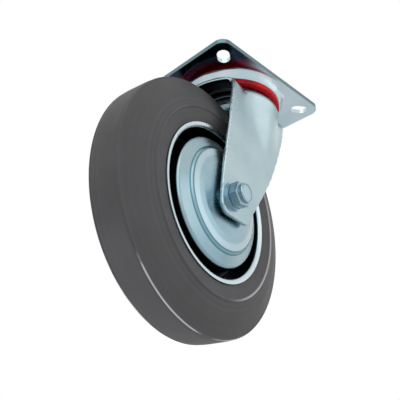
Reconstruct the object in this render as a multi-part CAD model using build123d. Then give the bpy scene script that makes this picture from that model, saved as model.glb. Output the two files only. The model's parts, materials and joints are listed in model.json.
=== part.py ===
from build123d import *
import math
import os

# Swivel castor: a rubber-tyred wheel on a pressed steel rim, held in a pressed fork that
# turns under a stamped top plate on two rows of balls.
#
# Frame: millimetres, +Z up. The origin is the centre of the top plate's mounting face and
# Z is the swivel axis. X runs along the plate's long sides. The wheel hangs below.
# Wheel and fork are modelled in the fork's own frame (wheel axle along Y, wheel centre at
# -X) and then turned about Z by rest_swivel_angle.

# The whole castor
wheel_radius = 100.0
wheel_top_to_plate = 35.0
axle_trail = 55.0
rest_swivel_angle = 9.5

# Swivel bearing: the upper row runs between plate and fork, the lower row under the fork
upper_ball_diameter = 8.0
upper_ball_pitch_radius = 33.0
lower_ball_diameter = 6.0
lower_ball_pitch_radius = 22.5
ball_to_ball_gap = 0.45
ball_groove_clearance = 0.15
crown_gap = 3.8
lower_race_gap = 3.2
lower_race_thickness = 3.0
lower_race_beyond_balls = 2.0
lower_race_rim_height = 2.2
lower_race_rim_wall = 1.5

# Dust seal between the plate's boss and the fork crown
seal_ball_clearance = 2.8
seal_width = 3.0
seal_crown_gap = 0.25
seal_chamfer = 0.5

# Top plate: the round boss is pressed down, the slots point at the plate's centre
plate_thickness = 4.0
plate_end_beyond_boss = 19.7
plate_side_beyond_boss = 3.2
plate_corner_radius = 9.0
slot_from_end = 15.0
slot_from_side = 13.5
slot_width = 10.5
slot_length = 15.5
boss_face_beyond_seal = 0.6
boss_wall_spread = 4.4
boss_depth = 6.5
boss_edge_radius = 1.2
boss_root_radius = 1.5

# Kingpin: a round-headed bolt through plate, crown and lower race
kingpin_diameter = 12.0
kingpin_head_diameter = 27.0
kingpin_head_height = 5.0
kingpin_head_edge = 2.0
kingpin_head_flat_radius = 8.1
kingpin_hole_clearance = 0.2
kingpin_crown_clearance = 4.0
kingpin_end_beyond_nut = 2.0
kingpin_end_chamfer = 1.0
kingpin_nut_height = 9.0
kingpin_nut_across_flats = 18.0

# Rim halves: lip, well wall, well floor, disc wall, sloping band, step, dome and flat hub
rim_sheet = 2.4
rim_bend_radius = 0.8
rim_lip_radius = 61.6
rim_lip_width = 3.8
rim_lip_half_width = 20.8
rim_well_wall_spread = 2.6
rim_well_width = 3.0
rim_disc_wall_spread = 2.0
rim_disc_half_width = 20.4
rim_band_width = 9.0
rim_band_rise = 3.8
rim_step_width = 1.8
rim_step_rise = 1.8
rim_dome_width = 10.4
rim_dome_rise = 1.4
rim_hub_hole_clearance = 1.2

# Tyre
tyre_tread_half_width = 9.0
tyre_edge_half_width = 12.0
tyre_edge_drop = 0.7
tyre_side_above_lip = 11.9
tyre_side_swell = 2.6
tyre_side_inside_lip = 1.0
tyre_ridge = 0.5
tyre_rim_clearance = 0.15

# Fork: one pressing, with a round bulge that fades out down the legs
fork_sheet = 3.5
fork_rim_gap = 2.1
crown_beyond_bulge = 8.8
crown_bend_radius = 9.5
bulge_beyond_seal = 0.4
bulge_low_z = -80.0
leg_lean = 3.0
leg_upright_from_z = -62.0
leg_bottom_below_axle = 16.6
leg_before_axle = 14.8
leg_behind_axle = 18.5
leg_front_corner_radius = 9.0
leg_rear_corner_radius = 4.5
leg_front_lean = 0.4
leg_front_straight = 13.0
leg_rear_lean = 3.6
leg_rear_straight = 5.0
leg_front_setback = 0.2
leg_rear_setback = 1.7
# Points on the curves of the leg's two edges: how far behind and above the axle
leg_front_curve = [(6.5, 99.0), (0.5, 73.0), (-7.0, 39.0)]
leg_rear_curve = [(42.2, 14.6), (63.6, 46.0), (80.5, 78.0), (91.5, 100.0)]

# Hub, roller bearing and axle
hub_tube_wall = 3.5
roller_diameter = 5.8
roller_spacing = 2.2
roller_clearance = 0.1
sleeve_radius = 10.0
cage_wall = 2.4
cage_end_ring = 3.0
cage_end_clearance = 0.5
cage_pocket_clearance = 0.15
dust_washer_thickness = 1.5
dust_washer_clearance = 0.3
axle_diameter = 12.0
axle_hole_clearance = 0.1
axle_head_across_flats = 18.0
axle_head_height = 7.5
axle_end_beyond_nut = 1.4
axle_end_chamfer = 1.0
nut_across_flats = 18.0
nut_height = 10.4
nut_chamfer_angle = 30.0
nut_turn = 30.0
washer_radius = 11.0
washer_thickness = 1.6

# How much of a hexagon's end face is left flat, as a part of its width across flats
hexagon_face_share = 0.95
# Cutting tools run this far past the faces that they cut
cut_margin = 20.0

# Levels and radii worked out from the dimensions above
kingpin_radius = kingpin_diameter / 2
axle_radius = axle_diameter / 2
axle_drop = wheel_radius + wheel_top_to_plate
seal_inner_radius = upper_ball_pitch_radius + upper_ball_diameter / 2 + seal_ball_clearance
seal_outer_radius = seal_inner_radius + seal_width
boss_face_radius = seal_outer_radius + boss_face_beyond_seal
boss_base_radius = boss_face_radius + boss_wall_spread
boss_face_z = -plate_thickness - boss_depth
recess_floor_z = boss_face_z + plate_thickness
plate_length = 2 * (boss_base_radius + plate_end_beyond_boss)
plate_width = 2 * (boss_base_radius + plate_side_beyond_boss)
slot_x = plate_length / 2 - slot_from_end
slot_y = plate_width / 2 - slot_from_side
crown_top_z = boss_face_z - crown_gap
crown_under_z = crown_top_z - fork_sheet
upper_ball_z = (boss_face_z + crown_top_z) / 2
upper_groove_radius = upper_ball_diameter / 2 + ball_groove_clearance
lower_race_top_z = crown_under_z - lower_race_gap
lower_race_under_z = lower_race_top_z - lower_race_thickness
lower_race_radius = lower_ball_pitch_radius + lower_ball_diameter / 2 + lower_race_beyond_balls
lower_ball_z = (crown_under_z + lower_race_top_z) / 2
lower_groove_radius = lower_ball_diameter / 2 + ball_groove_clearance
rim_hub_half_width = rim_disc_half_width + rim_band_rise + rim_step_rise + rim_dome_rise
leg_inner_face = rim_hub_half_width + fork_rim_gap
leg_face_low = leg_inner_face + fork_sheet
leg_face_top = leg_face_low - leg_lean
bulge_low_radius = leg_face_low
bulge_top_radius = seal_outer_radius + bulge_beyond_seal
crown_radius = bulge_top_radius + crown_beyond_bulge
leg_bottom_z = -axle_drop - leg_bottom_below_axle
roller_pitch_radius = sleeve_radius + roller_clearance + roller_diameter / 2
roller_count = int(2 * math.pi * roller_pitch_radius / (roller_diameter + roller_spacing))
hub_bore_radius = roller_pitch_radius + roller_diameter / 2 + roller_clearance
hub_tube_radius = hub_bore_radius + hub_tube_wall
hub_tube_length = 2 * (rim_hub_half_width - rim_sheet)
cage_length = hub_tube_length - 2 * (dust_washer_thickness + cage_end_clearance)
roller_length = cage_length - 2 * cage_end_ring
nut_seat = leg_face_low + washer_thickness

# Wheel parts are turned about their own Z, which then points out of the leg that carries
# the axle nut
wheel_place = Pos(-axle_trail, 0, -axle_drop) * Rot(90, 0, 0)
fork_turn = Rot(0, 0, rest_swivel_angle)


def section(points):
    """A flat section from (radius, height) corners."""
    return make_face(Polyline(*points, close=True))


def spun(face):
    """The solid that a (radius, height) section sweeps about the Z axis."""
    return revolve(Plane.XZ * face, Axis.Z)


def offset_points(points, thickness):
    """The corners of a pressed sheet's other surface, which lies to the left of the path."""
    normals = []
    for (r0, z0), (r1, z1) in zip(points, points[1:]):
        length = math.hypot(r1 - r0, z1 - z0)
        normals.append(((z0 - z1) / length, (r1 - r0) / length))
    moved = []
    for i, (r, z) in enumerate(points):
        before = normals[max(i - 1, 0)]
        after = normals[min(i, len(normals) - 1)]
        reach = thickness / (1 + before[0] * after[0] + before[1] * after[1])
        moved.append((r + reach * (before[0] + after[0]), z + reach * (before[1] + after[1])))
    return moved


def pressed_section(points, thickness, bend_radius):
    """The section of a pressed sheet, with the same wall all along its rounded bends."""
    other = offset_points(points, thickness)
    near_bends = []
    far_bends = []
    for (r0, z0), (r1, z1), (r2, z2) in zip(points, points[1:], points[2:]):
        turns_left = (r1 - r0) * (z2 - z1) - (z1 - z0) * (r2 - r1) > 0
        near_bends.append(bend_radius + thickness if turns_left else bend_radius)
        far_bends.append(bend_radius if turns_left else bend_radius + thickness)
    near = FilletPolyline(*points, radius=near_bends)
    far = FilletPolyline(*other, radius=far_bends)
    ends = Line(points[0], other[0]) + Line(points[-1], other[-1])
    return make_face(near + far + ends)


def ring(pitch_radius, height, section_radius):
    """A ring of round section about the Z axis."""
    return Pos(0, 0, height) * Torus(pitch_radius, section_radius)


def tube(outer_radius, inner_radius, length):
    """A tube centred on the origin."""
    return Cylinder(outer_radius, length) - Cylinder(inner_radius, length)


def disc_below(radius, top, height):
    """A round disc that hangs from a level."""
    return Pos(0, 0, top - height / 2) * Cylinder(radius, height)


def ball_row(pitch_radius, height, diameter):
    """A full row of balls as separate solids."""
    count = int(2 * math.pi * pitch_radius / (diameter + ball_to_ball_gap))
    ball = Pos(pitch_radius, 0, height) * Sphere(diameter / 2)
    return [Rot(0, 0, 360 * i / count) * ball for i in range(count)]


def chamfered_hexagon(across_flats, height, both_ends):
    """A hexagon whose corners are turned off to a cone at its top, or at both ends."""
    corner_radius = across_flats / math.sqrt(3)
    face_radius = across_flats / 2 * hexagon_face_share
    drop = (corner_radius - face_radius) * math.tan(math.radians(nut_chamfer_angle))
    blank = [(0, 0), (corner_radius, 0)]
    if both_ends:
        blank = [(0, 0), (face_radius, 0), (corner_radius, drop)]
    blank += [(corner_radius, height - drop), (face_radius, height), (0, height)]
    bar = extrude(RegularPolygon(across_flats / 2, 6, major_radius=False), height)
    return bar & spun(section(blank))


def chamfered_rod(radius, low, high, chamfer):
    """A round rod from low to high along Z, with its low end chamfered."""
    return spun(section([
        (0, low),
        (radius - chamfer, low),
        (radius, low + chamfer),
        (radius, high),
        (0, high),
    ]))


def make_top_plate():
    """Rectangular plate with a round boss pressed down, its ball race and four slots."""
    lean = boss_wall_spread / boss_depth
    recess_top = boss_base_radius - plate_thickness * (math.hypot(1, lean) - lean)
    recess_floor = recess_top + lean * recess_floor_z
    root_edge = boss_base_radius + boss_root_radius
    plate = extrude(RectangleRounded(plate_length, plate_width, plate_corner_radius), -plate_thickness)
    boss = section([
        (0, -plate_thickness / 2),
        (root_edge, -plate_thickness / 2),
        (root_edge, -plate_thickness),
        (boss_base_radius, -plate_thickness),
        (boss_face_radius, boss_face_z),
        (0, boss_face_z),
    ])
    boss = fillet(boss.vertices().sort_by(Axis.Y)[:2].sort_by(Axis.X)[-1], boss_edge_radius)
    root = boss.vertices().sort_by_distance((boss_base_radius, -plate_thickness))[0]
    plate += spun(fillet(root, boss_root_radius))
    plate -= spun(section([
        (0, cut_margin),
        (recess_top, cut_margin),
        (recess_top, 0),
        (recess_floor, recess_floor_z),
        (0, recess_floor_z),
    ]))
    ridge = ring(upper_ball_pitch_radius, upper_ball_z, upper_groove_radius + plate_thickness)
    plate += ridge & disc_below(boss_face_radius, 0, -boss_face_z)
    plate -= ring(upper_ball_pitch_radius, upper_ball_z, upper_groove_radius)
    pin_hole_radius = kingpin_radius + kingpin_hole_clearance
    plate -= disc_below(pin_hole_radius, cut_margin, 2 * cut_margin - boss_face_z)
    slot = extrude(SlotOverall(slot_length, slot_width), plate_thickness + cut_margin, both=True)
    for x in (-slot_x, slot_x):
        for y in (-slot_y, slot_y):
            plate -= Pos(x, y, 0) * Rot(0, 0, math.degrees(math.atan2(y, x))) * slot
    return plate


def make_seal_ring():
    """Flat ring that closes the gap between boss and crown outside the upper balls."""
    low = crown_top_z + seal_crown_gap
    return spun(section([
        (seal_inner_radius, boss_face_z),
        (seal_inner_radius, low),
        (seal_outer_radius - seal_chamfer, low),
        (seal_outer_radius, low + seal_chamfer),
        (seal_outer_radius, boss_face_z),
    ]))


def make_lower_race():
    """Dished washer under the fork crown, which holds the lower balls up."""
    inner = kingpin_radius + kingpin_hole_clearance
    rim_inner = lower_race_radius - lower_race_rim_wall
    race = spun(section([
        (inner, lower_race_under_z),
        (rim_inner, lower_race_under_z),
        (lower_race_radius, lower_race_top_z - lower_race_rim_wall),
        (lower_race_radius, lower_race_top_z + lower_race_rim_height),
        (rim_inner, lower_race_top_z + lower_race_rim_height),
        (rim_inner, lower_race_top_z),
        (inner, lower_race_top_z),
    ]))
    return race - ring(lower_ball_pitch_radius, lower_ball_z, lower_groove_radius)


def make_kingpin():
    """Bolt whose low round head lies in the plate's recess."""
    low = lower_race_under_z - kingpin_nut_height - kingpin_end_beyond_nut
    head_radius = kingpin_head_diameter / 2
    head = spun(section([
        (0, 0),
        (head_radius, 0),
        (head_radius, kingpin_head_edge),
        (kingpin_head_flat_radius, kingpin_head_height),
        (0, kingpin_head_height),
    ]))
    shank = chamfered_rod(kingpin_radius, low, recess_floor_z, kingpin_end_chamfer)
    return shank + Pos(0, 0, recess_floor_z) * head


def make_kingpin_nut():
    nut = chamfered_hexagon(kingpin_nut_across_flats, kingpin_nut_height, True)
    nut -= disc_below(kingpin_radius, kingpin_nut_height, kingpin_nut_height)
    return Pos(0, 0, lower_race_under_z - kingpin_nut_height) * nut


def leg_profile():
    """The side outline of a leg, in the fork's XZ plane."""
    front_foot = (-axle_trail - leg_before_axle, leg_bottom_z)
    rear_foot = (-axle_trail + leg_behind_axle, leg_bottom_z)
    front_low = (front_foot[0] + leg_front_lean, leg_bottom_z + leg_front_straight)
    rear_low = (rear_foot[0] + leg_rear_lean, leg_bottom_z + leg_rear_straight)
    front_top = (-bulge_top_radius + leg_front_setback, crown_top_z)
    rear_top = (bulge_top_radius - leg_rear_setback, crown_top_z)
    front_curve = [(x - axle_trail, z - axle_drop) for x, z in leg_front_curve]
    rear_curve = [(x - axle_trail, z - axle_drop) for x, z in leg_rear_curve]
    corner_radii = [leg_front_corner_radius, leg_rear_corner_radius]
    foot = FilletPolyline(front_low, front_foot, rear_foot, rear_low, radius=corner_radii)
    front = Spline(front_top, *front_curve, front_low)
    rear = Spline(rear_low, *rear_curve, rear_top)
    return Plane.XZ * make_face(foot + front + rear + Line(rear_top, front_top))


def fork_form(inset):
    """The fork's filled outer form, or its inside when inset by the sheet's thickness.

    A block with leaning leg faces, and the round bulge, both bent over at the crown."""
    low = leg_bottom_z - cut_margin
    top_z = crown_top_z - inset
    across = section([
        (-leg_face_low + inset, low),
        (-leg_face_low + inset, leg_upright_from_z),
        (-leg_face_top + inset, top_z),
        (leg_face_top - inset, top_z),
        (leg_face_low - inset, leg_upright_from_z),
        (leg_face_low - inset, low),
    ])
    across = fillet(across.vertices().sort_by(Axis.Y)[-2:], crown_bend_radius - inset)
    block = extrude(Plane.YZ * across, axle_trail + crown_radius + cut_margin, both=True)
    bulge = section([
        (0, low),
        (bulge_low_radius - inset, low),
        (bulge_low_radius - inset, bulge_low_z),
        (bulge_top_radius - inset, top_z),
        (0, top_z),
    ])
    corner = bulge.vertices().sort_by(Axis.X)[-1]
    return block + spun(fillet(corner, crown_bend_radius - inset))


def make_fork():
    """One pressing: crown, round bulge and two legs, with a ball groove on each side."""
    outer = fork_form(0)
    sheet = outer - fork_form(fork_sheet)
    legs = extrude(leg_profile(), crown_radius + cut_margin, both=True)
    crown = disc_below(crown_radius, crown_top_z + fork_sheet, 2 * fork_sheet)
    fork = sheet & (legs + crown)
    fork += ring(upper_ball_pitch_radius, upper_ball_z, upper_groove_radius + fork_sheet) & outer
    fork -= ring(upper_ball_pitch_radius, upper_ball_z, upper_groove_radius)
    fork -= ring(lower_ball_pitch_radius, lower_ball_z, lower_groove_radius)
    hole_radius = kingpin_radius + kingpin_crown_clearance
    centre_hole = disc_below(hole_radius, crown_top_z + cut_margin, 2 * cut_margin)
    axle_hole = Cylinder(axle_radius + axle_hole_clearance, 2 * (leg_face_low + cut_margin))
    return fork - centre_hole - wheel_place * axle_hole


def rim_face_points():
    """The outside surface of the rim half on the nut's side, from lip to hub."""
    widths = [
        (rim_lip_width, 0),
        (rim_well_wall_spread, rim_sheet - rim_lip_half_width),
        (rim_well_width, 0),
        (rim_disc_wall_spread, rim_disc_half_width - rim_sheet),
        (rim_band_width, rim_band_rise),
        (rim_step_width, rim_step_rise),
        (rim_dome_width, rim_dome_rise),
    ]
    points = [(rim_lip_radius, rim_lip_half_width)]
    for width, rise in widths:
        radius, height = points[-1]
        points.append((radius - width, height + rise))
    return points + [(sleeve_radius + rim_hub_hole_clearance, rim_hub_half_width)]


def make_rim_half():
    """One pressing, from its rolled lip through the well to the dished disc."""
    return spun(pressed_section(rim_face_points(), rim_sheet, rim_bend_radius))


def make_tyre():
    """Solid tyre: flat tread, straight shoulders, and a seat between the rim's lips."""
    back = offset_points(rim_face_points(), rim_sheet + tyre_rim_clearance)
    seat_top = back[1]
    lean = (back[2][0] - back[1][0]) / (back[2][1] - back[1][1])
    seat_middle = (seat_top[0] - lean * seat_top[1], 0)
    lip_side = rim_lip_radius + tyre_rim_clearance
    side_at_lip = rim_lip_half_width - tyre_side_inside_lip
    side_radius = rim_lip_radius + tyre_side_above_lip
    side = side_at_lip + tyre_side_swell
    edge_radius = wheel_radius - tyre_edge_drop
    half = [
        seat_middle,
        seat_top,
        (lip_side, seat_top[1]),
        (lip_side, side_at_lip),
        (side_radius - 2 * tyre_ridge, side - tyre_ridge),
        (side_radius - tyre_ridge, side + tyre_ridge),
        (side_radius + tyre_ridge, side + tyre_ridge),
        (side_radius + 2 * tyre_ridge, side - tyre_ridge),
        (edge_radius - tyre_ridge, tyre_edge_half_width + tyre_ridge),
        (edge_radius + tyre_ridge, tyre_edge_half_width),
        (edge_radius, tyre_edge_half_width - 2 * tyre_ridge),
        (wheel_radius - tyre_ridge / 2, tyre_tread_half_width + tyre_ridge),
        (wheel_radius, tyre_tread_half_width),
    ]
    mirrored = [(r, -z) for r, z in reversed(half[1:])]
    return spun(section(half + mirrored))


def make_hub_tube():
    return tube(hub_tube_radius, hub_bore_radius, hub_tube_length)


def make_sleeve():
    return tube(sleeve_radius, axle_radius + axle_hole_clearance, 2 * leg_inner_face)


def roller_ring(radius, length):
    """The rollers, or the pockets that hold them, as separate solids."""
    roller = Pos(roller_pitch_radius, 0, 0) * Cylinder(radius, length)
    return [Rot(0, 0, 360 * i / roller_count) * roller for i in range(roller_count)]


def make_roller_cage():
    """Tube with a long pocket for each roller and a whole ring at each end."""
    half_wall = cage_wall / 2
    cage = tube(roller_pitch_radius + half_wall, roller_pitch_radius - half_wall, cage_length)
    pocket_radius = roller_diameter / 2 + cage_pocket_clearance
    for pocket in roller_ring(pocket_radius, roller_length + 2 * cage_pocket_clearance):
        cage -= pocket
    return cage


def make_dust_washer():
    """Washer between the roller cage and the rim, inside the hub tube."""
    outer = hub_bore_radius - dust_washer_clearance
    inner = sleeve_radius + dust_washer_clearance
    middle = (hub_tube_length - dust_washer_thickness) / 2
    return Pos(0, 0, middle) * tube(outer, inner, dust_washer_thickness)


def make_washer():
    washer = tube(washer_radius, axle_radius + axle_hole_clearance, washer_thickness)
    return Pos(0, 0, leg_face_low + washer_thickness / 2) * washer


def make_axle_nut():
    nut = chamfered_hexagon(nut_across_flats, nut_height, True)
    nut -= disc_below(axle_radius, nut_height, nut_height)
    return Pos(0, 0, nut_seat) * Rot(0, 0, nut_turn) * nut


def make_axle_bolt():
    """Hexagon bolt from the far leg to the nut: its threaded end points along +Z."""
    end = nut_seat + nut_height + axle_end_beyond_nut
    shank = Rot(180, 0, 0) * chamfered_rod(axle_radius, -end, leg_face_low, axle_end_chamfer)
    head = chamfered_hexagon(axle_head_across_flats, axle_head_height, False)
    return shank + Pos(0, 0, -leg_face_low) * Rot(180, 0, 0) * head


def write(name, shape, place=Pos(0, 0, 0)):
    """One STEP file for one named piece, or for a group of like pieces."""
    if isinstance(shape, list):
        placed = [(place * piece).solid() for piece in shape]
        shape = Compound(children=placed)
    else:
        shape = place * shape
    shape.label = name
    export_step(shape, f"parts/{name}.step")


def main():
    os.makedirs("parts", exist_ok=True)
    on_wheel = fork_turn * wheel_place
    other_side = on_wheel * Rot(180, 0, 0)
    write("top_plate", make_top_plate())
    write("seal_ring", make_seal_ring())
    write("upper_balls", ball_row(upper_ball_pitch_radius, upper_ball_z, upper_ball_diameter))
    write("lower_balls", ball_row(lower_ball_pitch_radius, lower_ball_z, lower_ball_diameter))
    write("lower_race", make_lower_race())
    write("kingpin", make_kingpin())
    write("kingpin_nut", make_kingpin_nut())
    write("fork", make_fork(), fork_turn)
    write("tyre", make_tyre(), on_wheel)
    write("rim_half_nut_side", make_rim_half(), on_wheel)
    write("rim_half_head_side", make_rim_half(), other_side)
    write("hub_tube", make_hub_tube(), on_wheel)
    write("dust_washer_nut_side", make_dust_washer(), on_wheel)
    write("dust_washer_head_side", make_dust_washer(), other_side)
    write("roller_cage", make_roller_cage(), on_wheel)
    write("rollers", roller_ring(roller_diameter / 2, roller_length), on_wheel)
    write("axle_sleeve", make_sleeve(), on_wheel)
    write("axle_bolt", make_axle_bolt(), on_wheel)
    write("axle_washer", make_washer(), on_wheel)
    write("axle_nut", make_axle_nut(), on_wheel)


if __name__ == "__main__":
    main()
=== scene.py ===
import json
from math import acos, atan2, cos, pi, radians, sin, sqrt, tan

import bpy
from mathutils import Matrix, Vector


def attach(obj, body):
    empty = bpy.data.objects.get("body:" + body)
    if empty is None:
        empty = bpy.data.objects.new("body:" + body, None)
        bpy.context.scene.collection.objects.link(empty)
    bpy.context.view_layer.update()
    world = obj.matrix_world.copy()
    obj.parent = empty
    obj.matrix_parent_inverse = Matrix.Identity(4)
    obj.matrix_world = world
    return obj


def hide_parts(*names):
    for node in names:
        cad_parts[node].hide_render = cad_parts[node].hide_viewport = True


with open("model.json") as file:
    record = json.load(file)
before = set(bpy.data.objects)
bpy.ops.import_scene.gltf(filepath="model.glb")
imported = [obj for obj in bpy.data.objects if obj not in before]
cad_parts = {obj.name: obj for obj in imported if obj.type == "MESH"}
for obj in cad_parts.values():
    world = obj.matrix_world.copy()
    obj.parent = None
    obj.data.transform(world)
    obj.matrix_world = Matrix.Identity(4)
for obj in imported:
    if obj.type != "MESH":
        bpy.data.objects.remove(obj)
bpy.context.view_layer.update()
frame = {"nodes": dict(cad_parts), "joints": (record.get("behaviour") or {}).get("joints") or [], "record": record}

# A swivel castor seen from below: bright zinc plate, fork and rim, a red swivel seal and a
# grey rubber tyre. Lengths are in metres unless a name ends in _mm.

MM = 0.001
slots = {part["node"]: part["material_slot"] for part in frame["record"]["subparts"]}
joints = {joint["name"]: joint for joint in frame["joints"]}
axle_centre = Vector(joints["wheel_spin"]["pos_m"])
# Along the axle, towards its nut.
axle_direction = Vector(joints["wheel_spin"]["axis"]).normalized()
# The fork's turn about Z at rest.
rest_turn = radians(90) + atan2(axle_direction.y, axle_direction.x)

UP = (0, 0, 1)
DOWN = (0, 0, -1)
# From the swivel axis towards the side that the photo's light falls on.
LIT_SIDE = (0.71, -0.70, 0)

THREAD_PITCH = 1.75 * MM
# Edges that bend more than this stay sharp where a surface shades smoothly.
CREASE = radians(35)


def linear(red, green, blue):
    """A screen colour of 0 to 255 as the linear colour that a shader takes."""
    def channel(value):
        part = value / 255
        return part / 12.92 if part <= 0.04045 else ((part + 0.055) / 1.055) ** 2.4
    return (channel(red), channel(green), channel(blue), 1.0)


ZINC_LIGHT = linear(182, 202, 209)
ZINC_BLUE = linear(156, 184, 197)
ZINC_STAIN = linear(140, 168, 180)
SHADE = linear(26, 34, 40)
# A paler grey for the tyre's streaks and for its tread towards the bottom.
PALE_RUBBER = linear(104, 104, 108)


class Value:
    """A link in a material. Python's operators on it add Math nodes."""

    def __init__(self, finish, socket):
        self.finish = finish
        self.socket = socket

    def __add__(self, other):
        return self.finish.math("ADD", self, other)

    def __sub__(self, other):
        return self.finish.math("SUBTRACT", self, other)

    def __rsub__(self, other):
        return self.finish.math("SUBTRACT", other, self)

    def __mul__(self, other):
        return self.finish.math("MULTIPLY", self, other)

    def __pow__(self, other):
        return self.finish.math("POWER", self, other)

    def sine(self):
        return self.finish.math("SINE", self)

    def size(self):
        """The absolute value."""
        return self.finish.math("ABSOLUTE", self)

    __radd__ = __add__
    __rmul__ = __mul__


class Finish:
    """A procedural material on the Principled shader."""

    def __init__(self, name):
        self.material = bpy.data.materials.new(name)
        self.material.use_nodes = True
        self.nodes = self.material.node_tree.nodes
        self.links = self.material.node_tree.links
        self.shader = self.nodes["Principled BSDF"]
        self.place = self.node("TexCoord", output="Object")

    def feed(self, socket, value):
        if isinstance(value, Value):
            self.links.new(value.socket, socket)
        else:
            socket.default_value = value

    def node(self, kind, settings=None, output=0, **values):
        """Adds a node: its settings first, then its sockets by name, or by number as _0, _1."""
        made = self.nodes.new("ShaderNode" + kind)
        for name, setting in (settings or {}).items():
            setattr(made, name, setting)
        for name, value in values.items():
            key = int(name[1:]) if name[0] == "_" else name
            self.feed(made.inputs[key], value)
        return Value(self, made.outputs[output])

    def math(self, operation, first, second=0.0):
        return self.node("Math", {"operation": operation}, _0=first, _1=second)

    def vector(self, operation, first, second=(0.0, 0.0, 0.0), output="Vector"):
        settings = {"operation": operation}
        return self.node("VectorMath", settings, output, _0=first, _1=second)

    def dot(self, first, second):
        return self.vector("DOT_PRODUCT", first, second, "Value")

    def length(self, vector):
        return self.vector("LENGTH", vector, output="Value")

    def step(self, value, low, high):
        """0 below low, 1 above high, smooth between."""
        settings = {"interpolation_type": "SMOOTHSTEP"}
        return self.node("MapRange", settings, _0=value, _1=low, _2=high, _3=0.0, _4=1.0)

    def band(self, value, middle, half_width, soft):
        """1 within half_width of the middle, fading to 0 over soft on each side."""
        return 1.0 - self.step((value - middle).size(), half_width, half_width + soft)

    def blend(self, amount, first, second):
        """A colour between two colours."""
        settings = {"data_type": "RGBA"}
        return self.node("Mix", settings, output=2, _0=amount, _6=first, _7=second)

    def noise(self, scale, detail, roughness=0.5, vector=None):
        vector = vector or self.place
        return self.node("TexNoise", Vector=vector, Scale=scale, Detail=detail, Roughness=roughness)

    def bump(self, height, distance, strength, normal=None):
        extra = {"Normal": normal} if normal else {}
        return self.node("Bump", Height=height, Distance=distance, Strength=strength, **extra)

    def set(self, **values):
        """Sets sockets of the shader, with _ for a space in their names."""
        for name, value in values.items():
            self.feed(self.shader.inputs[name.replace("_", " ")], value)
        return self

    def facing(self):
        """The surface's own direction, from the mesh."""
        return self.node("TexCoord", output="Normal")

    def height(self):
        """The height over the mounting face, so below 0 on all of the castor."""
        return self.dot(self.place, UP)

    def from_swivel(self):
        """The level way out from the swivel axis."""
        return self.vector("MULTIPLY", self.place, (1.0, 1.0, 0.0))

    def swivel_radius(self):
        return self.length(self.from_swivel())

    def from_wheel(self):
        """The way from the wheel's middle."""
        return self.vector("SUBTRACT", self.place, tuple(axle_centre))

    def along_axle(self):
        """The distance from the wheel's middle along the axle, above 0 towards the nut."""
        return self.dot(self.from_wheel(), tuple(axle_direction))

    def axle_radius(self):
        """The distance from the axle's line."""
        length = self.length(self.from_wheel())
        along = self.along_axle()
        return (length * length - along * along) ** 0.5


def pits(finish):
    """A faint speckle of pits."""
    return finish.bump(finish.noise(420.0, 5.0, 0.6), 0.02 * MM, 0.35)


def zinc(name, low_roughness, high_roughness, light=ZINC_LIGHT, blue=ZINC_BLUE,
         shade=None, relief=pits):
    """Bright zinc plating with bluish clouds and passivation stains.

    shade takes the finish and its colour, and gives the colour with its painted shade, painted highlights and
    painted reflections.
    relief takes the finish and gives the surface's bumps."""
    finish = Finish(name)
    clouds = finish.node("MapRange", _0=finish.noise(24.0, 4.0), _1=0.35, _2=0.65)
    stains = finish.step(finish.noise(95.0, 6.0, 0.7), 0.6, 0.72)
    colour = finish.blend(clouds, light, blue)
    colour = finish.blend(stains * 0.35, colour, ZINC_STAIN)
    if shade:
        colour = shade(finish, colour)
    roughness = low_roughness + (high_roughness - low_roughness) * finish.noise(70.0, 5.0)
    return finish.set(
        Base_Color=colour,
        Metallic=1.0,
        Roughness=roughness,
        Normal=relief(finish),
    )


def threaded(name, distance):
    """Zinc with a rolled thread: distance gives, for a finish, the way along the bolt."""
    def thread(finish):
        wave = (distance(finish) * (2 * pi / THREAD_PITCH)).sine()
        return finish.bump(wave, 0.35 * MM, 0.8)
    return zinc(name, 0.22, 0.36, relief=thread)


def plate_shade(finish, colour):
    """The plate's underside carries painted reflections of a dark room on one side and of the red seal round its
    boss, lighter towards the corner.

    Its sheared edge is painted dark teal as painted shade."""
    half_length, half_width = 67.5 * MM, 51 * MM
    radius = finish.swivel_radius()
    across = finish.dot(finish.place, LIT_SIDE)

    under = finish.step(finish.dot(finish.facing(), DOWN), 0.5, 0.8)
    off_boss = finish.step(radius, 48.5 * MM, 50.5 * MM)
    dark_reflection_side = 1.0 - finish.step(across, 4 * MM, 32 * MM)
    near_boss = 1.0 - finish.step(radius, 56 * MM, 63 * MM)
    seal_reflection_side = finish.step(across, -60 * MM, -40 * MM)
    corner = finish.step(radius, 73 * MM, 80 * MM)
    # Painted reflection: dark navy on the dark side, maroon of the red seal near the boss, lighter teal towards
    # the corner.
    dark = finish.blend(near_boss * seal_reflection_side * 0.85, linear(40, 50, 66), linear(124, 26, 52))
    dark = finish.blend(corner * 0.7, dark, linear(104, 138, 146))
    colour = finish.blend(under * off_boss * dark_reflection_side, colour, dark)

    # Painted shade: the upright sheared edge faces are coloured dark teal.
    lengthwise = finish.dot(finish.place, (1 / half_length, 0, 0)).size()
    crosswise = finish.dot(finish.place, (0, 1 / half_width, 0)).size()
    outline = finish.step(finish.math("MAXIMUM", lengthwise, crosswise), 0.93, 0.935)
    upright = 1.0 - finish.step(finish.dot(finish.facing(), UP).size(), 0.3, 0.7)
    return finish.blend(outline * upright * 0.8, colour, linear(44, 84, 92))


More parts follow.
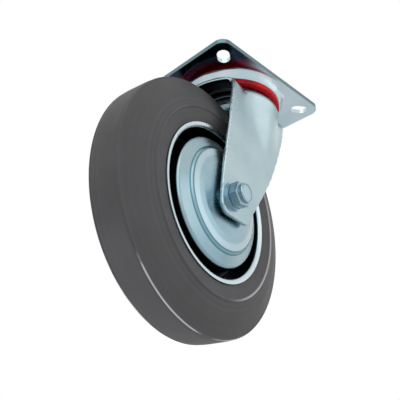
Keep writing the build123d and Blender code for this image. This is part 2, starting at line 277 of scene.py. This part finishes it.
def fork_shade(finish, colour):
    """Painted shade: the inside of the legs and bulge and the crown's underside are coloured dark, with two
    lighter arcs on the underside as painted highlights.
    """
    height = finish.height()
    radius = finish.swivel_radius()
    facing = finish.facing()

    away_from_wheel = finish.dot(facing, tuple(axle_direction))
    away_from_wheel = away_from_wheel * finish.math("SIGN", finish.along_axle())
    inner_leg = finish.step(away_from_wheel * -1.0, 0.25, 0.6)
    inner_leg = inner_leg * finish.step(height, -92 * MM, -66 * MM)

    away_from_swivel = finish.dot(facing, finish.vector("NORMALIZE", finish.from_swivel()))
    inner_bulge = finish.step(away_from_swivel * -1.0, 0.3, 0.6)
    inner_bulge = inner_bulge * finish.step(height, -52 * MM, -40 * MM)

    # Painted shade under the crown, lifted at two arcs as painted highlights.
    under = finish.step(finish.dot(facing, DOWN), 0.4, 0.8)
    under = under * finish.step(height, -30 * MM, -26 * MM)
    outer_arc_highlight = finish.band(radius, 38.5 * MM, 0.9 * MM, 0.6 * MM)
    inner_arc_highlight = finish.band(radius, 30.0 * MM, 0.6 * MM, 0.6 * MM)
    under = under * (1.0 - (outer_arc_highlight + inner_arc_highlight) * 0.8)

    # Painted shade wherever the fork faces inwards or down.
    inside = finish.math("MAXIMUM", inner_leg, inner_bulge)
    inside = finish.math("MAXIMUM", inside, under)
    return finish.blend(inside, colour, SHADE)


def rim_shade(finish, colour):
    """Painted shade and highlights: the well is painted near black, the pressed step's corners as two teal lines
    of painted shade with a painted highlight ring inside, and the lip as a painted highlight.
    """
    line_half_width, line_fade = 0.25 * MM, 0.45 * MM
    radius = finish.axle_radius()
    outer_face = finish.step(finish.along_axle().size(), 19 * MM, 21 * MM)

    # Painted highlight ring and painted shade lines at the pressed step.
    highlight_ring = finish.band(radius, 36.4 * MM, 1.4 * MM, 2.6 * MM)
    inner_step_shade = finish.band(radius, 39.3 * MM, line_half_width, line_fade)
    outer_step_shade = finish.band(radius, 41.3 * MM, line_half_width, line_fade)
    well = finish.step(radius, 49.9 * MM, 50.4 * MM)
    well = well * (1.0 - finish.step(radius, 57.5 * MM, 58.0 * MM))
    lip = finish.step(radius, 57.8 * MM, 58.2 * MM)

    # Painted highlight ring, painted shade lines at the step, painted highlight on the lip, painted shade in the
    # well.
    colour = finish.blend(highlight_ring * outer_face * 0.25, colour, linear(226, 238, 242))
    colour = finish.blend((inner_step_shade + outer_step_shade) * outer_face * 0.85, colour, linear(62, 124, 136))
    colour = finish.blend(lip * 0.7, colour, linear(214, 224, 228))
    return finish.blend(well * 0.95, colour, linear(16, 28, 34))


def tyre_rubber():
    """Dull grey rubber: fine moulding rings on the sides and faint streaks, with painted highlights on the edge
    ridges and the side ridge.
    """
    ring_pitch = 0.9 * MM
    finish = Finish("grey rubber")
    radius = finish.axle_radius()
    along = finish.along_axle()
    to_side = along.size()
    depth = finish.dot(finish.place, DOWN)

    low = finish.step(depth, 168 * MM, 196 * MM)
    lit = finish.step(finish.dot(finish.place, LIT_SIDE), -12 * MM, 10 * MM)
    # Patches that break up the painted highlight on the edge ridges.
    highlight_patches = finish.step(finish.noise(14.0, 4.0, 0.6), 0.46, 0.6)
    tread = finish.step(radius, 98.6 * MM, 99.0 * MM)
    tread = tread * (1.0 - finish.step(to_side, 10 * MM, 12 * MM))
    edge_ridge = finish.band(radius, 99.5 * MM, 0.25 * MM, 0.4 * MM)
    edge_ridge = edge_ridge * finish.band(to_side, 12.2 * MM, 0.3 * MM, 0.5 * MM)
    side_ridge = finish.band(radius, 73.3 * MM, 0.3 * MM, 0.8 * MM)
    shoulder = finish.band(radius, 85.0 * MM, 8.0 * MM, 3.0 * MM)
    shoulder = shoulder * finish.step(to_side, 12.9 * MM, 13.6 * MM)

    # Streaks run round the wheel, since noise changes fastest with radius and width.
    drift = finish.noise(6.0, 1.0)
    stretched = finish.node("CombineXYZ", _0=radius * 600.0, _1=along * 900.0, _2=drift)
    streaks = finish.step(finish.noise(1.0, 3.0, 0.6, stretched), 0.5, 0.8)
    colour = finish.blend(finish.noise(38.0, 5.0, 0.6), linear(56, 56, 58), linear(63, 63, 65))
    colour = finish.blend(streaks * 0.22, colour, PALE_RUBBER)
    # Painted highlights: the edge ridges near the bottom, and the side ridge, faint all round and bright on the
    # lit side.
    colour = finish.blend(edge_ridge * highlight_patches * low * 0.9, colour, linear(196, 196, 200))
    colour = finish.blend(side_ridge * (0.04 + 0.86 * lit), colour, linear(176, 176, 179))
    # The tread is paler towards the bottom of the wheel.
    colour = finish.blend(tread * low * 0.3, colour, PALE_RUBBER)

    rings = (radius * (2 * pi / ring_pitch)).sine() * shoulder * low
    grain = finish.bump(finish.noise(900.0, 4.0, 0.6), 0.03 * MM, 0.5)
    return finish.set(
        Base_Color=colour,
        Roughness=0.5 + 0.2 * finish.noise(60.0, 4.0),
        Normal=finish.bump(rings, 0.03 * MM, 0.6, grain),
    )


def seal_plastic():
    """Red plastic with moulding streaks, darker in patches."""
    finish = Finish("red seal")
    patches = finish.step(finish.noise(30.0, 3.0), 0.4, 0.62)
    return finish.set(
        Base_Color=finish.blend(patches, linear(192, 12, 24), linear(132, 5, 14)),
        Roughness=0.38 + 0.14 * finish.noise(120.0, 4.0),
        Normal=finish.bump(finish.noise(500.0, 4.0), 0.02 * MM, 0.4),
        Specular_IOR_Level=0.25,
    )


def black_plastic():
    finish = Finish("black plastic")
    return finish.set(
        Base_Color=finish.blend(finish.noise(80.0, 4.0), linear(24, 24, 25), linear(36, 36, 38)),
        Roughness=0.42 + 0.16 * finish.noise(140.0, 4.0),
    )


def shaded_bearing_steel():
    """Ground steel coloured very dark red as painted shade for the gap under the seal, its red a painted
    reflection of the seal.
    """
    finish = Finish("shaded bearing steel")
    return finish.set(
        # Painted shade, with the seal's red as a painted reflection.
        Base_Color=finish.blend(finish.noise(200.0, 4.0), linear(34, 8, 8), linear(44, 12, 12)),
        Metallic=0.6,
        Roughness=0.5 + 0.2 * finish.noise(300.0, 4.0),
    )


def only_active(piece):
    """Makes a piece the only one that Blender's operators work on."""
    bpy.ops.object.select_all(action="DESELECT")
    piece.select_set(True)
    bpy.context.view_layer.objects.active = piece


def apply_modifier(piece, kind, **settings):
    """Adds a modifier to the active piece and applies it."""
    modifier = piece.modifiers.new(kind.lower(), kind)
    for name, setting in settings.items():
        setattr(modifier, name, setting)
    bpy.ops.object.modifier_apply(modifier=modifier.name)


def rounded(corners):
    """An outline's (radius, height) points, from corners of (radius, height, bend).

    bend is the radius of the rounding at a corner, and 0 leaves it sharp. The first and
    the last corner are the outline's ends and stay as they are."""
    steps = 6
    places = [Vector(corner[:2]) for corner in corners]
    bends = [corner[2] for corner in corners]
    points = [tuple(places[0])]
    for before, corner, after, bend in zip(places, places[1:], places[2:], bends[1:]):
        if bend == 0:
            points.append(tuple(corner))
            continue
        back = (before - corner).normalized()
        ahead = (after - corner).normalized()
        opening = acos(max(-1.0, min(1.0, back.dot(ahead))))
        centre = corner + (back + ahead).normalized() * (bend / sin(opening / 2))
        first = corner + back * (bend / tan(opening / 2)) - centre
        last = corner + ahead * (bend / tan(opening / 2)) - centre
        clockwise = first.angle_signed(last)
        for i in range(steps + 1):
            turn = -clockwise * i / steps
            spoke = Vector((
                first.x * cos(turn) - first.y * sin(turn),
                first.x * sin(turn) + first.y * cos(turn),
            ))
            points.append(tuple(centre + spoke))
    return points + [tuple(places[-1])]


def turned(name, outline_mm, segments):
    """A ring turned about Z from the (radius, height) points of its closed outline."""
    outline = [(radius * MM, height * MM) for radius, height in outline_mm]
    first_radius, first_height = outline[0]
    bpy.ops.object.select_all(action="DESELECT")
    bpy.ops.mesh.primitive_circle_add(
        vertices=segments, radius=first_radius, location=(0, 0, first_height))
    piece = bpy.context.object
    piece.name = name
    bpy.ops.object.transform_apply(location=True, rotation=False, scale=False)
    bpy.ops.object.mode_set(mode="EDIT")
    bpy.ops.mesh.select_all(action="SELECT")
    for (radius, height), (next_radius, next_height) in zip(outline, outline[1:]):
        rise = (0, 0, next_height - height)
        bpy.ops.mesh.extrude_region_move(TRANSFORM_OT_translate={"value": rise})
        growth = next_radius / radius
        bpy.ops.transform.resize(value=(growth, growth, 1), center_override=(0, 0, 0))
    bpy.ops.mesh.select_all(action="DESELECT")
    bpy.ops.mesh.select_mode(type="EDGE")
    bpy.ops.mesh.select_non_manifold(extend=False)
    bpy.ops.mesh.bridge_edge_loops()
    bpy.ops.mesh.select_all(action="SELECT")
    bpy.ops.mesh.normals_make_consistent(inside=False)
    bpy.ops.object.mode_set(mode="OBJECT")
    bpy.ops.object.shade_smooth_by_angle(angle=CREASE)
    return piece


def put_on_axle(piece):
    """Moves a piece made about Z onto the axle, its +Z towards the axle nut."""
    lay_down = Matrix.Rotation(radians(90), 4, "X")
    turn = Matrix.Rotation(rest_turn, 4, "Z")
    piece.matrix_world = Matrix.Translation(axle_centre) @ turn @ lay_down
    only_active(piece)
    bpy.ops.object.transform_apply(location=True, rotation=True, scale=True)
    return piece


def smoothed_copy(node):
    """A CAD node's own form with its triangles joined, so that its curves shade smoothly."""
    source = frame["nodes"][node]
    piece = source.copy()
    piece.data = source.data.copy()
    piece.parent = None
    piece.matrix_world = Matrix.Identity(4)
    piece.name = node + "_finished"
    bpy.context.collection.objects.link(piece)
    only_active(piece)
    bpy.ops.object.mode_set(mode="EDIT")
    bpy.ops.mesh.select_all(action="SELECT")
    bpy.ops.mesh.remove_doubles(threshold=0.002 * MM)
    bpy.ops.object.mode_set(mode="OBJECT")
    bpy.ops.object.shade_smooth_by_angle(angle=CREASE)
    return piece


def make_tyre():
    """Rubber tyre with a rounded tread, moulded ridges at its edges and a ridge on each side."""
    # One half from the middle of the tread, down the side, to the middle of the base.
    half_mm = rounded([
        (100.0, 0.0, 0),
        (99.95, 9.2, 14.0),
        (99.3, 11.4, 0.5),
        (99.75, 11.9, 0.5),
        (99.2, 12.8, 0.5),
        (98.0, 12.8, 1.0),
        (86.0, 18.3, 50.0),
        (74.9, 21.6, 0.6),
        (73.5, 23.0, 0.6),
        (72.2, 21.7, 0.6),
        (65.0, 20.6, 3.0),
        (61.75, 19.6, 0.4),
        (61.75, 18.2, 0.2),
        (58.0, 18.2, 0.5),
        (55.4, 0.0, 0),
    ])
    other_half_mm = [(radius, -height) for radius, height in reversed(half_mm[1:-1])]
    return put_on_axle(turned("tyre_finished", half_mm + other_half_mm, segments=224))


def make_seal():
    """Flat red ring with a bevelled lower edge, wide enough to hide the upper balls."""
    bore_mm, outside_mm, bevel_mm = 37.4, 42.8, 0.6
    low_mm, high_mm = -14.05, -10.5
    return turned("seal_ring_finished", [
        (bore_mm, high_mm),
        (bore_mm, low_mm),
        (outside_mm - bevel_mm, low_mm),
        (outside_mm, low_mm + bevel_mm),
        (outside_mm, high_mm),
    ], segments=128)


def make_lock_nut():
    """Hexagon with the round collar of a plastic-insert lock nut round the bolt's end; the insert itself is not
    made.
    """
    # Heights along the axle, from the wheel's middle.
    seat_mm, hexagon_top_mm, top_mm = 34.6, 41.6, 45.0
    across_flats_mm = 17.6
    turn = radians(40)
    bore_mm, outside_mm = 6.1, 7.6
    bore_foot_mm, collar_foot_mm = top_mm - 2.4, hexagon_top_mm - 1.0
    bore_bevel_mm = 0.4
    bpy.ops.object.select_all(action="DESELECT")
    bpy.ops.mesh.primitive_cylinder_add(
        vertices=6,
        radius=across_flats_mm / sqrt(3) * MM,
        depth=(hexagon_top_mm - seat_mm) * MM,
        location=(0, 0, (seat_mm + hexagon_top_mm) / 2 * MM),
        rotation=(0, 0, turn),
    )
    nut = bpy.context.object
    nut.name = "axle_nut_finished"
    bpy.ops.object.transform_apply(location=True, rotation=True, scale=True)
    apply_modifier(nut, "BEVEL", width=0.6 * MM, segments=3)
    bpy.ops.object.shade_smooth_by_angle(angle=CREASE)
    turned("collar", rounded([
        (bore_mm, bore_foot_mm, 0),
        (bore_mm, top_mm - bore_bevel_mm, 0.2),
        (bore_mm + bore_bevel_mm, top_mm, 0.2),
        (outside_mm, top_mm, 1.2),
        (outside_mm, collar_foot_mm, 0),
        (bore_mm, collar_foot_mm, 0),
    ]), segments=64)
    nut.select_set(True)
    bpy.context.view_layer.objects.active = nut
    bpy.ops.object.join()
    return put_on_axle(nut)


def make_bolt():
    """The axle bolt, its threaded end cut just below the top of the nut's collar."""
    from_middle_to_end = 44.5 * MM
    bolt = smoothed_copy("axle_bolt")
    bpy.ops.object.mode_set(mode="EDIT")
    bpy.ops.mesh.select_all(action="SELECT")
    bpy.ops.mesh.bisect(
        plane_co=axle_centre + axle_direction * from_middle_to_end,
        plane_no=axle_direction,
        use_fill=True,
        clear_outer=True,
    )
    bpy.ops.object.mode_set(mode="OBJECT")
    bpy.ops.object.shade_smooth_by_angle(angle=CREASE)
    return bolt


# Where the fork's cut edges lie, as (height, x) from the crown to the foot, with the fork
# turned to trail straight towards -X.
FRONT_EDGE_MM = [(-14.3, -43.0), (-36.0, -48.5), (-62.0, -54.5), (-96.0, -62.0), (-140.0, -69.4)]
REAR_EDGE_MM = [
    (-14.3, 41.5), (-35.0, 36.5), (-57.0, 25.5), (-89.0, 8.6), (-120.4, -12.8), (-146.0, -32.0),
]


def edge_at(height, points_mm):
    """The x of an edge at a height, on the lines between its points."""
    for (high, x_high), (low, x_low) in zip(points_mm, points_mm[1:]):
        if height >= low * MM:
            return (x_low + (x_high - x_low) * (height / MM - low) / (high - low)) * MM
    return points_mm[-1][1] * MM


def may_soften(place):
    """Whether a point of the fork lies in the bulge and its blend into the legs.

    The crown, the kingpin's hole, the feet and the cut edges stay as pressed."""
    crown, foot = -24 * MM, -118 * MM
    hole_rim = 12 * MM
    edge_strip = 6 * MM
    straight = Matrix.Rotation(-rest_turn, 4, "Z") @ place
    front = edge_at(straight.z, FRONT_EDGE_MM) + edge_strip
    rear = edge_at(straight.z, REAR_EDGE_MM) - edge_strip
    away = Vector((place.x, place.y)).length
    return foot < place.z < crown and away > hole_rim and front < straight.x < rear


def make_fork():
    """The fork's pressing with the soft bends that a press leaves where the bulge meets a leg."""
    fork = smoothed_copy("fork")
    apply_modifier(fork, "REMESH", mode="VOXEL", voxel_size=0.95 * MM)
    apply_modifier(fork, "SMOOTH", factor=0.5, iterations=5)
    soft = fork.vertex_groups.new(name="soft")
    chosen = [vertex.index for vertex in fork.data.vertices if may_soften(vertex.co)]
    soft.add(chosen, 1.0, "REPLACE")
    apply_modifier(fork, "SMOOTH", factor=0.5, iterations=500, vertex_group=soft.name)
    bpy.ops.object.shade_smooth_by_angle(angle=radians(60))
    return fork


def dress(piece, finish):
    piece.data.materials.clear()
    piece.data.materials.append(finish.material)


def stand_in_place(piece, node, body, finish):
    """The piece rides on a body and is shown instead of a CAD node."""
    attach(piece, body)
    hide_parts(node)
    dress(piece, finish)


def build_castor():
    finishes = {
        "plate_zinc": zinc(
            "plate zinc", 0.12, 0.2, linear(202, 218, 224), linear(184, 206, 214), plate_shade),
        "fork_zinc": zinc(
            "fork zinc", 0.22, 0.34, linear(175, 193, 197), linear(157, 181, 188), fork_shade),
        "rim_zinc": zinc(
            "rim zinc", 0.22, 0.34, linear(160, 180, 185), linear(138, 168, 181), rim_shade),
        "hardware_zinc": zinc("hardware zinc", 0.2, 0.35),
        "bearing_steel": shaded_bearing_steel(),
        "bearing_plastic": black_plastic(),
        "seal_plastic": seal_plastic(),
        "tyre_rubber": tyre_rubber(),
    }
    for node, piece in frame["nodes"].items():
        dress(piece, finishes[slots[node]])
    dress(frame["nodes"]["kingpin"], threaded("kingpin thread", Finish.height))
    nut_zinc = zinc("nut zinc", 0.12, 0.24, linear(190, 211, 217), ZINC_STAIN)
    bolt_zinc = threaded("axle thread", Finish.along_axle)
    stand_in_place(make_tyre(), "tyre", "wheel", finishes["tyre_rubber"])
    stand_in_place(make_seal(), "seal_ring", "mounting_head", finishes["seal_plastic"])
    stand_in_place(make_lock_nut(), "axle_nut", "fork_body", nut_zinc)
    stand_in_place(make_bolt(), "axle_bolt", "fork_body", bolt_zinc)
    stand_in_place(make_fork(), "fork", "fork_body", finishes["fork_zinc"])
    plate = smoothed_copy("top_plate")
    stand_in_place(plate, "top_plate", "mounting_head", finishes["plate_zinc"])


def put_camera():
    """The photo's camera, fitted to the plate, its slots, the rim's lip and the tyre."""
    data = bpy.data.cameras.new("photo camera")
    data.lens = 49.63
    data.sensor_width = 36.0
    camera = bpy.data.objects.new("photo camera", data)
    bpy.context.collection.objects.link(camera)
    place = Vector((-0.3171, -0.2781, -0.3159))
    aim = Vector((-0.05455, -0.01263, -0.12949))
    roll = Matrix.Rotation(radians(0.3), 4, "Z")
    look = (aim - place).to_track_quat("-Z", "Y").to_matrix().to_4x4()
    camera.matrix_world = Matrix.Translation(place) @ look @ roll
    bpy.context.scene.camera = camera
    bpy.context.scene.view_settings.view_transform = "Standard"


def light_world():
    """White surroundings, at full strength for the camera and for reflections only."""
    world = bpy.data.worlds.new("studio")
    bpy.context.scene.world = world
    world.use_nodes = True
    nodes = world.node_tree.nodes
    links = world.node_tree.links
    background = nodes["Background"]
    background.inputs["Color"].default_value = (1, 1, 1, 1)
    path = nodes.new("ShaderNodeLightPath")
    seen = nodes.new("ShaderNodeMath")
    seen.operation = "MAXIMUM"
    links.new(path.outputs["Is Camera Ray"], seen.inputs[0])
    links.new(path.outputs["Is Glossy Ray"], seen.inputs[1])
    strength = nodes.new("ShaderNodeMapRange")
    strength.inputs["To Min"].default_value = 0.75
    strength.inputs["To Max"].default_value = 1.0
    links.new(seen.outputs[0], strength.inputs["Value"])
    links.new(strength.outputs[0], background.inputs["Strength"])


def put_lamp(name, place, size, power):
    """A square lamp that points at the castor."""
    data = bpy.data.lights.new(name, "AREA")
    data.size = size
    data.energy = power
    lamp = bpy.data.objects.new(name, data)
    bpy.context.collection.objects.link(lamp)
    place = Vector(place)
    target = Vector((-0.05, 0.0, -0.12))
    look = (target - place).to_track_quat("-Z", "Y").to_matrix().to_4x4()
    lamp.matrix_world = Matrix.Translation(place) @ look


def build_studio():
    """The castor hangs and is seen from below, so the floor lies under the camera."""
    put_camera()
    light_world()
    bpy.ops.object.select_all(action="DESELECT")
    bpy.ops.mesh.primitive_plane_add(size=6.0, location=(0, 0, -0.46))
    floor = bpy.context.object
    floor.name = "floor"
    dress(floor, Finish("floor").set(Base_Color=(0.9, 0.9, 0.9, 1), Roughness=0.9))
    put_lamp("key", (-1.3, -0.8, 0.6), size=2.0, power=9.0)
    put_lamp("fill", (0.7, -1.3, -0.1), size=1.6, power=4.0)


build_castor()
build_studio()
